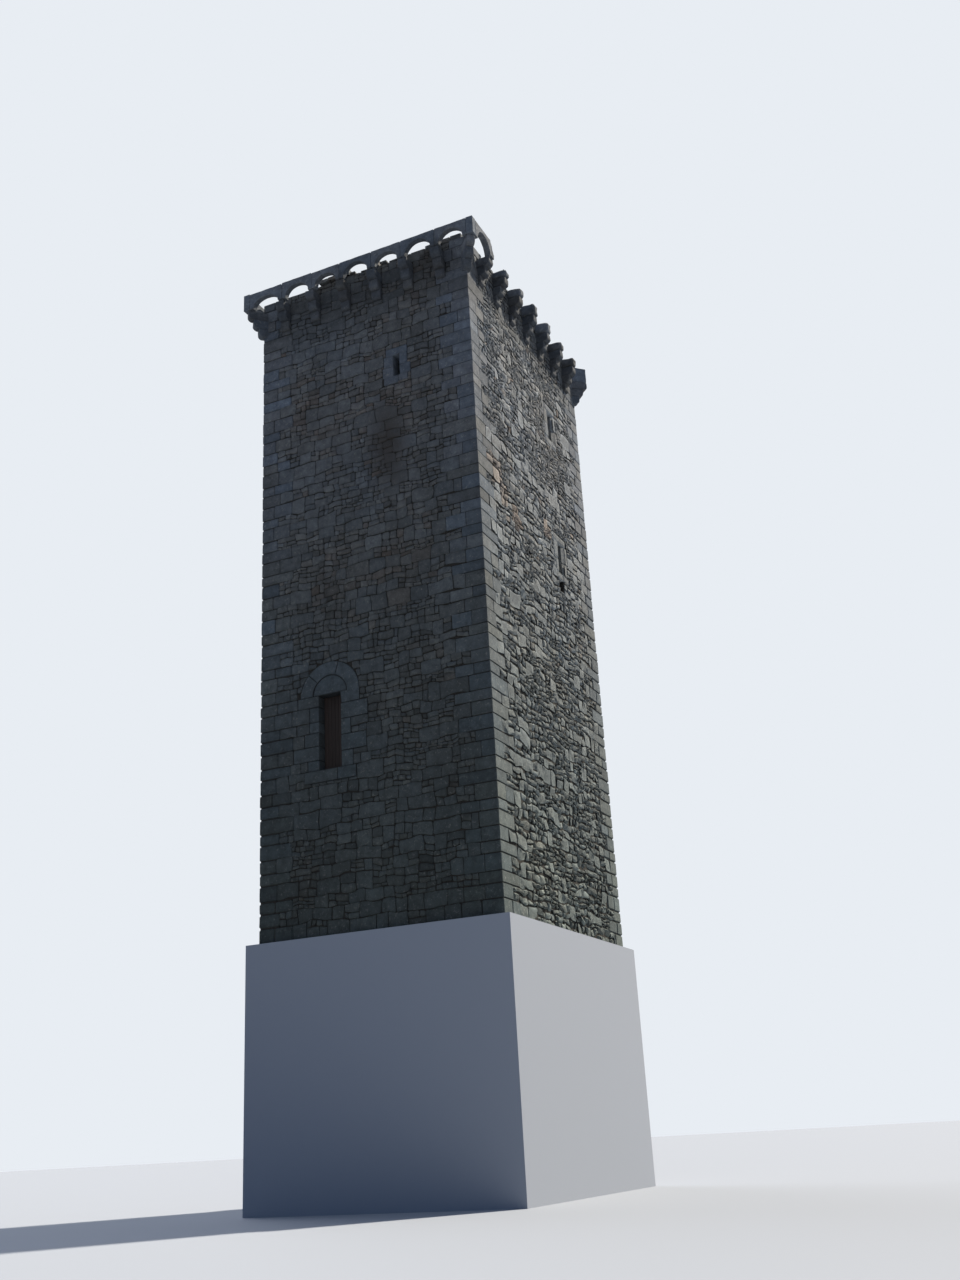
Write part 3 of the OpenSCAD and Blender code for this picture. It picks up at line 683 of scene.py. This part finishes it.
# Raised doorway: a long sill, jambs of alternate long and short blocks, one half-round stone that
# closes the head and a ring of three large voussoirs round it, all of dressed granite 45 cm deep.
FRONT = FACES["front"][3]
DRESSING = 0.45


def face_rings(outline, back, out, arris):
    """A stone that shows its face and its sides: an outline worn round at the front."""
    small = shrink(outline, arris)
    flat = shrink(outline, 3 * arris)
    return [[(u, v, back) for u, v in outline], [(u, v, out - arris) for u, v in outline],
            [(u, v, out - 0.2 * arris) for u, v in small], [(u, v, out) for u, v in flat]]


def dressed_block(pile, box, rng, put, back=-DRESSING, out=0.0, joint=JOINT, worn=1.0, damp_and_painted_shade=0.6,
                  tone=0.5, splay=0.0):
    """A squared block with its face at out. Splay cuts back the arris on its low side. Its sides
    take painted shade, and painted light where that amount is below nought.
    """
    u0, u1, v0, v1 = box
    half = joint / 2
    outline = edge_points(square(u0 + half, u1 - half, v0 + half, v1 - half), 0.22,
                          0.01 * worn)
    rings = face_rings(outline, back, out + rng.uniform(-0.006, 0.002),
                       rng.uniform(0.009, 0.014) * worn)
    if splay:
        near = u0 + (u1 - u0) * 0.2
        rings = [rings[0], [(u, v, -0.4 * splay) for u, v, w in rings[0]]] + [
            [(u + splay if u < near else u, v, w) for u, v, w in ring] for ring in rings[1:]]
        # the cut-back reveal is painted a little lighter
        damp_and_painted_shade = -0.1
    add_stone(pile, rings, put, rng.gauss(tone, 0.07), rng.uniform(0.0, 0.45), 0.004 * worn,
              shade=(-damp_and_painted_shade, -damp_and_painted_shade, -0.1))


rng = random.Random(300)
pile = heap()
# the sill is two stones, which meet right of the middle
for u0, u1 in ((DOOR_X - SILL_HALF, DOOR_X + 0.24), (DOOR_X + 0.24, DOOR_X + SILL_HALF)):
    # its top and sides are painted in shade
    dressed_block(pile, (u0, u1, SILL_Z - SILL_H, SILL_Z), rng, FRONT, out=0.03, joint=0.008)
lay_dressed("door_sill_stones", pile, "door_sill")

pile = heap()
for block in jamb_blocks():
    # the reveals of the jambs are painted in shade, the right ones more
    dressed_block(pile, block, rng, FRONT, damp_and_painted_shade=0.6 if block[0] > DOOR_X else 0.5)
lay_dressed("door_jamb_stones", pile, "door_jambs")


def round_the_door(r, angles, lift=0.0):
    return [(DOOR_X + r * math.cos(t), SPRING_Z + lift + r * math.sin(t)) for t in angles]


pile = heap()
outline = [(DOOR_X - 0.3 + 0.15 * k, SPRING_Z + 0.006) for k in range(5)]
outline += round_the_door(TYMPANUM_R - 0.006, [math.radians(a) for a in range(0, 181, 9)], 0.006)
# its sides in the recess over the door are painted in shade
add_stone(pile, face_rings(outline, -DRESSING + 0.02, -0.02, 0.014), FRONT, 0.42, 0.1, 0.003,
          shade=(-0.6, -0.6, -0.2))
lay_dressed("door_tympanum_stone", pile, "door_tympanum")

pile = heap()
# half a joint at the middle of the ring, in degrees
TRIM = math.degrees(0.005 / ((RING_R + TYMPANUM_R) / 2))
for a, b in ((0, 72), (72, 136), (136, 180)):
    steps = max(3, round((b - a) / 9))
    angles = [math.radians((a + TRIM if a else 0) + (b - (a > 0) * TRIM - TRIM - a) * k / steps)
              for k in range(steps + 1)]
    outline = round_the_door(RING_R - 0.004, angles)
    outline += round_the_door(TYMPANUM_R + 0.01, reversed(angles))
    if a == 0:
        # the right voussoir has a foot that runs in under the tympanum, with a worn inner arris
        edge, low = DOOR_X + RING_R - 0.004, FOOT_Z + 0.007
        outline += [(DOOR_RIGHT - 0.01, SPRING_Z - 0.004), (DOOR_RIGHT + 0.012, SPRING_Z - 0.2),
                    (DOOR_RIGHT + 0.03, low), (DOOR_X + 0.68, low), (edge, low),
                    (edge, FOOT_Z + 0.18)]
    # the sides of the ring stones, the soffit over the door among them, are painted in shade
    add_stone(pile, face_rings(outline, -DRESSING, 0.0, 0.012), FRONT, rng.gauss(0.5, 0.03),
              rng.uniform(0.0, 0.2), 0.004, None, shade=(-0.6, -0.6, -0.1))
lay_dressed("door_arch_stones", pile, "door_arch")


# Door leaf: six upright oak boards, butted, on ledges behind, weathered to a dull brown.
LEAF_FACE, LEAF_T, BOARDS = -0.30, 0.06, 6
weathered_oak, tree, place = start_material("weathered_oak_boards")
# grain lines about 11 mm apart, as coarse as they need to show, drawn out along the boards
drawn = add(tree, "Mapping", {"Vector": place, "Scale": (90.0, 90.0, 2.2)})
lines = add(tree, "TexNoise", {"Vector": drawn, "Scale": 1.0, "Detail": 5.0, "Roughness": 0.6})
tone = add(tree, "Attribute", attribute_name="tone").outputs["Fac"]
mixed = add(tree, "Math", {0: lines, 1: tone}, operation="MULTIPLY")
colour = add(tree, "ValToRGB", {"Fac": mixed},
             ((0.12, "#1d1816"), (0.5, "#352c28"), (0.3, "#2a2320")))
finish_material(tree, colour, lines, 0.6, 0.006, 0.82, 0.35)

pile = heap()
for k in range(BOARDS):
    u0 = DOOR_LEFT + DOOR_W / BOARDS * k + 0.002
    u1 = u0 + DOOR_W / BOARDS - 0.004
    outline = edge_points(square(u0, u1, SILL_Z + 0.008, SPRING_Z - 0.002), 0.5, 0.003)
    rings = face_rings(outline, LEAF_FACE - LEAF_T, LEAF_FACE - rng.uniform(0.0, 0.006), 0.005)
    add_stone(pile, rings, FRONT, rng.uniform(0.5, 0.9), 0.0, 0.001)
lay("door_boards", pile, weathered_oak, "weathered_oak", "door_leaf")


# Window frames: two jambs, a lintel and a sill of dressed granite round each opening, let 40 cm
# into the wall. Those of the sides are the rougher, and their far arris is cut back.
for name, face, u, sizes in HOLES:
    pile = heap()
    sides = "window" in name
    # the reveals of the side windows are painted lighter, as if lit, and those of the slits a
    # little
    worn, damp_and_painted_shade, tone = (2.2, -1.3, 0.42) if sides else (1.0, -0.2, 0.38)
    for w, h, z in sizes:
        for box in frame_blocks(u, w, h, z):
            far = sides and box[0] > u and box[2] > z - 0.1
            dressed_block(pile, box, rng, FACES[face][3], -0.4, worn=worn, damp_and_painted_shade=damp_and_painted_shade, tone=tone,
                          splay=0.18 if far else 0.0)
    lay(f"{name}_stones", pile, split_granite if sides else dressed_granite, "dressed_granite",
        name + ("_frames" if sides else "_frame"))


# Floors and terrace beams: sawn oak, joists from wall to wall with boards over them, out of the
# weather and paler than the door.
sawn_oak, tree, place = start_material("sawn_oak")
# grain lines about 17 mm apart, as coarse as they need to show
drawn = add(tree, "Mapping", {"Vector": place, "Scale": (2.5, 60.0, 60.0)})
lines = add(tree, "TexNoise", {"Vector": drawn, "Scale": 1.0, "Detail": 5.0, "Roughness": 0.6})
colour = add(tree, "ValToRGB", {"Fac": lines}, ((0.3, "#4a3b2d"), (0.7, "#7d6851")))
finish_material(tree, colour, lines, 0.5, 0.005, 0.8, 0.5)
for node in ("entrance_floor", "middle_floor", "upper_floor", "terrace_beams"):
    dress(node, sawn_oak)


# Corbels: three granite stones, each further out than the one under it and rounded below, with
# their tails built into the wall. The corner ones are narrower and stand out diagonally.
CORBEL_H, NOSE_R, NOSE_LAG, TAIL = 0.313, 0.15, 0.12, 0.5
CORNER_W, CORNER_OUT = 0.26, 0.52
# half the joint between the stones of the crown
BED = 0.004


def nose_arc(out, r, angles):
    """The round on the underside of a nose, at angles in degrees."""
    return [(out - r + r * math.sin(math.radians(a)), r - r * math.cos(math.radians(a)))
            for a in angles]


def corbel_step(pile, put, out, wide, tone, tint, wear, rng):
    """One of the three stones of a corbel, from its tail to its rounded nose. Tint is a range."""
    h, r = CORBEL_H, min(NOSE_R, out)
    outline = [(-TAIL, BED), (-0.2, BED), (0.0, BED)]
    outline += [(p, max(q, BED)) for p, q in nose_arc(out, r, range(0, 91, 15))]
    outline += [(out, (r + h) / 2), (out, h - 0.016), (out - 0.014, h - BED), (out / 2, h - BED),
                (-0.1, h - BED), (-TAIL, h - BED)]
    rings = worn_rings(outline, -wide / 2 + BED, wide / 2 - BED, rng.uniform(0.012, 0.022), 3)
    add_stone(pile, rings, put, rng.gauss(tone, 0.08), rng.uniform(*tint), wear, None,
              (True, True))


for face, (half, bays, turns, put) in FACES.items():
    rng = random.Random(400 + len(face))
    pile = heap()
    for i in range(1, bays):
        c = corbel_at(half, bays, i)
        for k in (1, 2, 3):
            foot = CORBEL_FOOT + (k - 1) * CORBEL_H
            slip = rng.uniform(-0.006, 0.006)

            def across(p, q, w):
                return put(c + slip - w, foot + q, p)

            corbel_step(pile, across, CROWN_OUT * (k / 3 - NOSE_LAG), CORBEL_W, 0.28, (0.1, 0.6),
                        0.012, rng)
    lay_dressed(f"{face}_corbel_stones", pile, f"{face}_corbels")

pile = heap()
rng = random.Random(440)
for name, sx, sy, turn in CORNERS:
    outwards, sideways = Vector((sx, sy)) / math.sqrt(2), Vector((sy, -sx)) / math.sqrt(2)
    for k in (1, 2, 3):
        foot = CORBEL_FOOT + (k - 1) * CORBEL_H

        def across(p, q, w):
            place = outwards * p + sideways * w
            return (sx * HALF_W + place.x, sy * HALF_D + place.y, foot + q)

        corbel_step(pile, across, CORNER_OUT * k / 3, CORNER_W, 0.38, (0.0, 0.5), 0.009, rng)
lay_dressed("corner_corbel_stones", pile, "corner_corbels")


# Arcade of the crown: thin upright granite stones that span from corbel to corbel, each with a
# small round arch cut in its underside, between square corner stones. The front was set out by
# eye. Their tops are worn to uneven heights. On the right side only the first arch, the foot of
# the next, the springers and a block at the back corner are left.
BAND_H, ARCADE_T, ARCH_CROWN, BAND_WEAR, IMPOST = 0.62, 0.21, 0.175, 0.036, 0.003
FOOT_W, CORNER_ARM = 0.28, 0.24
# for the front, from the left: how far each joint strays, how far each stone is worn down at its
# top, and how far its arch is below a round one
STRAY = (0, 0.11, 0.12, 0.02, 0.05, -0.02, 0.04)
TOP_WORN = (0.03, 0.004, 0.03, 0.02, 0.012, 0.012, 0.006)
ARCH_FLAT = (0.09, 0.04, 0.06, 0.01, 0.05, 0.0, 0.02)


def stone_edge(half, bays, i, stray):
    if i in (0, bays):
        return (-1 if i == 0 else 1) * (half + CROWN_OUT - CORNER_ARM)
    return corbel_at(half, bays, i) + (stray[i] if stray else 0)


def arch_outline(half, bays, i, rng, stray=(), flat=0.0, worn=None):
    """Front view of an arch stone: foot, arch, foot, and round over the worn top."""
    left = stone_edge(half, bays, i, stray) + BED
    right = stone_edge(half, bays, i + 1, stray) - BED
    a, b = left + FOOT_W / 2 - BED, right - FOOT_W / 2 + BED
    r, c = (b - a) / 2 - IMPOST, (a + b) / 2
    worn = BAND_WEAR * (1 + uneven(4 * i + 1)) / 2 if worn is None else worn
    foot, top = BAND_FOOT + BED, BAND_FOOT + BAND_H - worn
    arch_z = BAND_FOOT + BAND_H - ARCH_CROWN - (b - a) / 2 + IMPOST
    start = math.degrees(math.asin(max(0.0, foot + 0.012 - arch_z) / r))
    curve = [math.radians(start + (180 - 2 * start) * k / 16) for k in range(17)]
    points = [(left + 0.012, foot), (c - r * math.cos(curve[0]) - 0.002, foot)]
    points += [(c - r * math.cos(t), arch_z + (r - flat * math.sin(t)) * math.sin(t))
               for t in curve]
    points += [(c + r * math.cos(curve[0]) + 0.002, foot), (right - 0.012, foot)]
    points += [(right, foot + rise) for rise in (0.02, 0.2, 0.4)]
    points += [(right, top - 0.03), (right - 0.02, top - BED)]
    points += [(right + (left - right) * k / 8, top - rng.uniform(0.001, 0.011))
               for k in range(1, 8)]
    points += [(left + 0.02, top - BED), (left, top - 0.03)]
    return points + [(left, foot + rise) for rise in (0.4, 0.2, 0.02)]


for face, stray in (("front", STRAY), ("back", ()), ("left", ())):
    half, bays, turns, put = FACES[face]
    rng = random.Random(500 + bays + len(face))
    pile = heap()
    for i in range(bays):
        after_photo = (ARCH_FLAT[i], TOP_WORN[i]) if stray else ()
        outline = arch_outline(half, bays, i, rng, stray, *after_photo)
        if face != "front":
            outline = [(-u, v) for u, v in reversed(outline)]
        rings = worn_rings(outline, CROWN_OUT - ARCADE_T,
                           CROWN_OUT - BED - rng.uniform(0.0, 0.008), 0.012)
        add_stone(pile, rings, put, rng.gauss(0.38, 0.05), rng.uniform(0.0, 0.4), 0.006, None,
                  (True, True))
    lay_dressed(f"{face}_arcade", pile, f"{face}_arch_stones")

# The ruined side, broken off along a line that leans back over the first arch
rng = random.Random(540)
pile = heap()
RIGHT = FACES["right"][3]


def break_edge(v):
    return corbel_at(HALF_D, SIDE_BAYS, 1) + 0.24 - math.tan(math.radians(28)) * (v - BAND_FOOT)


def cut_off(outline):
    """What is left of an outline in front of the break, which is rough."""
    kept = []
    for (a, b), (c, d) in zip(outline, outline[1:] + outline[:1]):
        inside, next_inside = a <= break_edge(b), c <= break_edge(d)
        if inside:
            kept.append((a, b))
        if inside != next_inside:
            t = (break_edge(b) - a) / (c - a - break_edge(d) + break_edge(b))
            kept.append((a + (c - a) * t, b + (d - b) * t))
    rough = []
    for (a, b), (c, d) in zip(kept, kept[1:] + kept[:1]):
        rough.append((a, b))
        n = int(math.hypot(c - a, d - b) / 0.06) if abs(c - break_edge(d)) < 0.001 else 0
        rough += [(a + (c - a) * k / n - rng.uniform(0.0, 0.022), b + (d - b) * k / n)
                  for k in range(1, n)]
    return rough


for i in (0, 1):
    outline = cut_off(arch_outline(HALF_D, SIDE_BAYS, i, rng))
    add_stone(pile, worn_rings(outline, CROWN_OUT - ARCADE_T, CROWN_OUT - 0.006, 0.01), RIGHT,
              0.45, 0.3, 0.006, None, (True, True))
# the springers, each with its height as a share of the usual 32 cm
for i, share in enumerate((0.95, 1.15, 1.55, 1.5, 1.2, 1.25), 2):
    c, h, r, out = corbel_at(HALF_D, SIDE_BAYS, i), 0.32 * share, 0.1, CROWN_OUT - BED
    outline = [(-0.05, BED), (0.15, BED), (out - r, BED)]
    outline += nose_arc(out, r, range(20, 91, 23))
    outline += [(out - rng.uniform(0.0, 0.02), h * 0.5)]
    outline += [(out - r + r * math.cos(math.radians(a)), h - r + r * math.sin(math.radians(a)))
                for a in range(0, 91, 22)]
    outline += [(out * 0.6, h - rng.uniform(0.0, 0.03)), (0.1, h - rng.uniform(0.0, 0.03)),
                (-0.05, h)]
    # their tops fall outwards
    outline = [(p, q - 0.12 * max(0.0, p) * (q > h / 2)) for p, q in outline]

    def across(p, q, w):
        return RIGHT(c - w, BAND_FOOT + q, p)

    rings = worn_rings(outline, -0.155, 0.155, 0.055, 3)
    add_stone(pile, rings, across, rng.gauss(0.42, 0.08), rng.uniform(0.1, 0.6), 0.03, None,
              (True, True))
lay_dressed("right_arcade_remains", pile, "right_arch_remains")

# Corner stones, in the frame of their corner with the tower towards plus
near, far = 0.005 - CROWN_OUT, CORNER_ARM - CROWN_OUT - BED
upright = square(near, far, near, far)
slanted = [(-0.283, -0.453), (-0.255, -0.425), (-0.255, -0.265), (-0.095, -0.265),
           (0.177, 0.007), (0.007, 0.177), (-0.453, -0.283)]
pile = heap()
foot, top = BAND_FOOT + BED, BAND_FOOT + BAND_H - BED
for name, sx, sy, turn in CORNERS:
    plan, worn = (slanted, 0.03) if name == "back_right" else (upright, 0.012)
    rings = worn_rings(edge_points(plan, 0.13, 0.012), foot, top, worn, 4)
    rings = [ring[::-1] for ring in rings] if turn else rings
    add_stone(pile, rings, at_corner(sx, sy), rng.gauss(0.42, 0.05), rng.uniform(0.0, 0.3),
              0.006, None, (True, True))
lay_dressed("corner_arcade_stones", pile, "corner_arch_stones")


# Terrace: large worn granite flags on the beams, and flat stones bedded on the wall heads.
TERRACE_T, FLAG_TOP, LOOSE_FOOT = 1.14, 20.999, 21.1


def flat_stone(pile, x0, x1, y0, y1, z0, z1, rng):
    outline = edge_points(square(x0, x1, y0, y1), 0.25, rng.uniform(0.01, 0.03))
    outline = [(x + rng.uniform(-0.006, 0.006), y + rng.uniform(-0.006, 0.006)) for x, y in outline]
    small = shrink(outline, 0.012)
    rings = [[(x, y, z0) for x, y in outline], [(x, y, z1 - 0.01) for x, y in outline],
             [(x, y, z1) for x, y in small]]
    add_stone(pile, rings, lambda x, y, z: (x, y, z), rng.gauss(0.5, 0.15), rng.uniform(0.1, 0.7),
              0.004, rng.uniform(0.0, 0.004))


def pave(pile, x0, x1, y0, y1, deep, wide, joint, foot, top, rng):
    """Rows of flat stones. Deep and wide give the least and the most of a stone, and the least
    rest that is left for another. Top is the range of its height."""
    y = y0
    while y < y1 - 0.01:
        d = min(rng.uniform(*deep[:2]), y1 - y)
        d = y1 - y if y1 - y - d < deep[2] else d
        x = x0
        while x < x1 - 0.01:
            w = min(rng.uniform(*wide[:2]), x1 - x)
            w = x1 - x if x1 - x - w < wide[2] else w
            flat_stone(pile, x + joint, x + w - joint, y + joint, y + d - joint, foot,
                       rng.uniform(*top), rng)
            x += w
        y += d


rng = random.Random(600)
pile = heap()
pave(pile, -HALF_W + TERRACE_T, HALF_W - TERRACE_T, -HALF_D + TERRACE_T, HALF_D - TERRACE_T,
     (0.42, 0.62, 0.25), (0.5, 0.95, 0.3), 0.006, FLAG_TOP - 0.12, (FLAG_TOP, FLAG_TOP - 0.008),
     rng)
lay("terrace_flags", pile, split_granite, "granite_flags", "terrace_paving")

pile = heap()
# along the front and the back, then between them along the sides
out_x, out_y, in_x, in_y = HALF_W - 0.04, HALF_D - 0.04, HALF_W - TERRACE_T, HALF_D - TERRACE_T
for x0, x1, y0, y1 in ((-out_x, out_x, -out_y, -in_y - 0.02), (-out_x, out_x, in_y + 0.02, out_y),
                       (-out_x, -in_x - 0.02, -in_y, in_y), (in_x + 0.02, out_x, -in_y, in_y)):
    pave(pile, x0, x1, y0, y1, (0.24, 0.4, 0.2), (0.25, 0.6, 0.2), 0.01, WALL_TOP - 0.05,
         (WALL_TOP + 0.005, WALL_TOP + 0.05), rng)
# loose stones against the foot of the front arches, which nearly close the third from the left:
# where the middle of each is, how wide and deep it is, and how high over the wall head
for x, y, wide, deep, high in (
        (-1.36, -4.47, 0.34, 0.46, 0.11), (-1.05, -4.5, 0.28, 0.42, 0.115),
        (-0.83, -4.46, 0.2, 0.44, 0.2), (-0.56, -4.46, 0.28, 0.4, 0.24),
        (-0.3, -4.46, 0.2, 0.36, 0.07), (0.2, -4.42, 0.44, 0.3, 0.04),
        (0.54, -4.46, 0.26, 0.42, 0.22), (0.86, -4.46, 0.24, 0.42, 0.05),
        (1.2, -4.42, 0.34, 0.3, 0.05), (1.6, -4.42, 0.4, 0.24, 0.07),
        (2.05, -4.42, 0.5, 0.24, 0.08), (2.55, -4.42, 0.44, 0.28, 0.14),
        (3.0, -4.42, 0.4, 0.28, 0.17), (3.4, -4.42, 0.38, 0.28, 0.17)):
    flat_stone(pile, x - wide / 2, x + wide / 2, y - deep / 2, y + deep / 2, LOOSE_FOOT,
               LOOSE_FOOT + high, rng)
lay("wall_head_stones", pile, split_granite, "granite_rubble")


# Stage: a plain pale floor, with a pale block under the keep because the view comes from below it.
FLOOR_Z = -6.9
for name, (x, y, z0, z1) in (("stage_floor", (250, 250, FLOOR_Z - 0.2, FLOOR_Z)),
                             ("stage_block", (4.0, 4.82, FLOOR_Z, -0.004))):
    mesh = bpy.data.meshes.new(name)
    corners = [(i * x, j * y, z) for z in (z0, z1) for j in (-1, 1) for i in (-1, 1)]
    mesh.from_pydata(corners, [], [(0, 2, 3, 1), (4, 5, 7, 6), (0, 1, 5, 4), (2, 6, 7, 3),
                                   (0, 4, 6, 2), (1, 3, 7, 5)])
    plaster = bpy.data.materials.new(name + "_plaster")
    plaster.use_nodes = True
    surface = plaster.node_tree.nodes["Principled BSDF"]
    surface.inputs["Base Color"].default_value = linear("#969ca5")
    surface.inputs["Roughness"].default_value = 0.9
    mesh.materials.append(plaster)
    stage = new_object(name, mesh)
    stage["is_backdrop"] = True

# Light: a pale sky all round, a warm key high over the back and the right side, and a weak lamp
# for the left and the back
world = bpy.data.worlds.new("pale_sky")
bpy.context.scene.world = world
world.use_nodes = True
tree = world.node_tree
tree.nodes.clear()
rays = add(tree, "LightPath").outputs
seen = add(tree, "Math", {0: rays["Is Camera Ray"], 1: rays["Is Glossy Ray"]}, operation="MAXIMUM")
sky = add(tree, "Background", {"Color": linear("#a6c8ff"), "Strength": 0.27})
backdrop = add(tree, "Background", {"Color": linear("#e8edf3"), "Strength": 1.0})
both = add(tree, "MixShader", {0: seen, 1: sky, 2: backdrop})
add(tree, "OutputWorld", {"Surface": both})
for name, towards, strength, angle, colour in (
        ("key_light", (0.39, 0.56, 0.73), 7.1, 3, "#fff4e3"),
        ("fill_light", (-0.7, 0.5, 0.5), 1.2, 40, "#f3f6ff")):
    lamp = bpy.data.lights.new(name, "SUN")
    lamp.energy, lamp.angle, lamp.color = strength, math.radians(angle), linear(colour)[:3]
    light = new_object(name, lamp)
    light.rotation_mode = "QUATERNION"
    light.rotation_quaternion = Vector(towards).to_track_quat("Z", "Y")

# Camera: stands low before the right front corner and looks up, as the photograph does
YAW, PITCH, ROLL = (math.radians(a) for a in (-24.10, 20.96, -3.21))
ahead = Vector((math.sin(YAW) * math.cos(PITCH), math.cos(YAW) * math.cos(PITCH), math.sin(PITCH)))
right = Vector((math.cos(YAW), -math.sin(YAW), 0.0))
up = right.cross(ahead)
turned_right = right * math.cos(ROLL) + up * math.sin(ROLL)
turned_up = up * math.cos(ROLL) - right * math.sin(ROLL)
lens = bpy.data.cameras.new("camera")
lens.sensor_width, lens.lens, lens.sensor_fit = 36.0, 36.56, "AUTO"
lens.clip_start, lens.clip_end = 0.5, 2000.0
camera = new_object("camera", lens)
camera.matrix_world = (
    (turned_right.x, turned_right.y, turned_right.z, 0.0),
    (turned_up.x, turned_up.y, turned_up.z, 0.0),
    (-ahead.x, -ahead.y, -ahead.z, 0.0),
    (17.206, -35.241, -5.312, 1.0))
bpy.context.scene.camera = camera
bpy.context.scene.view_settings.view_transform = "Standard"

low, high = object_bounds()
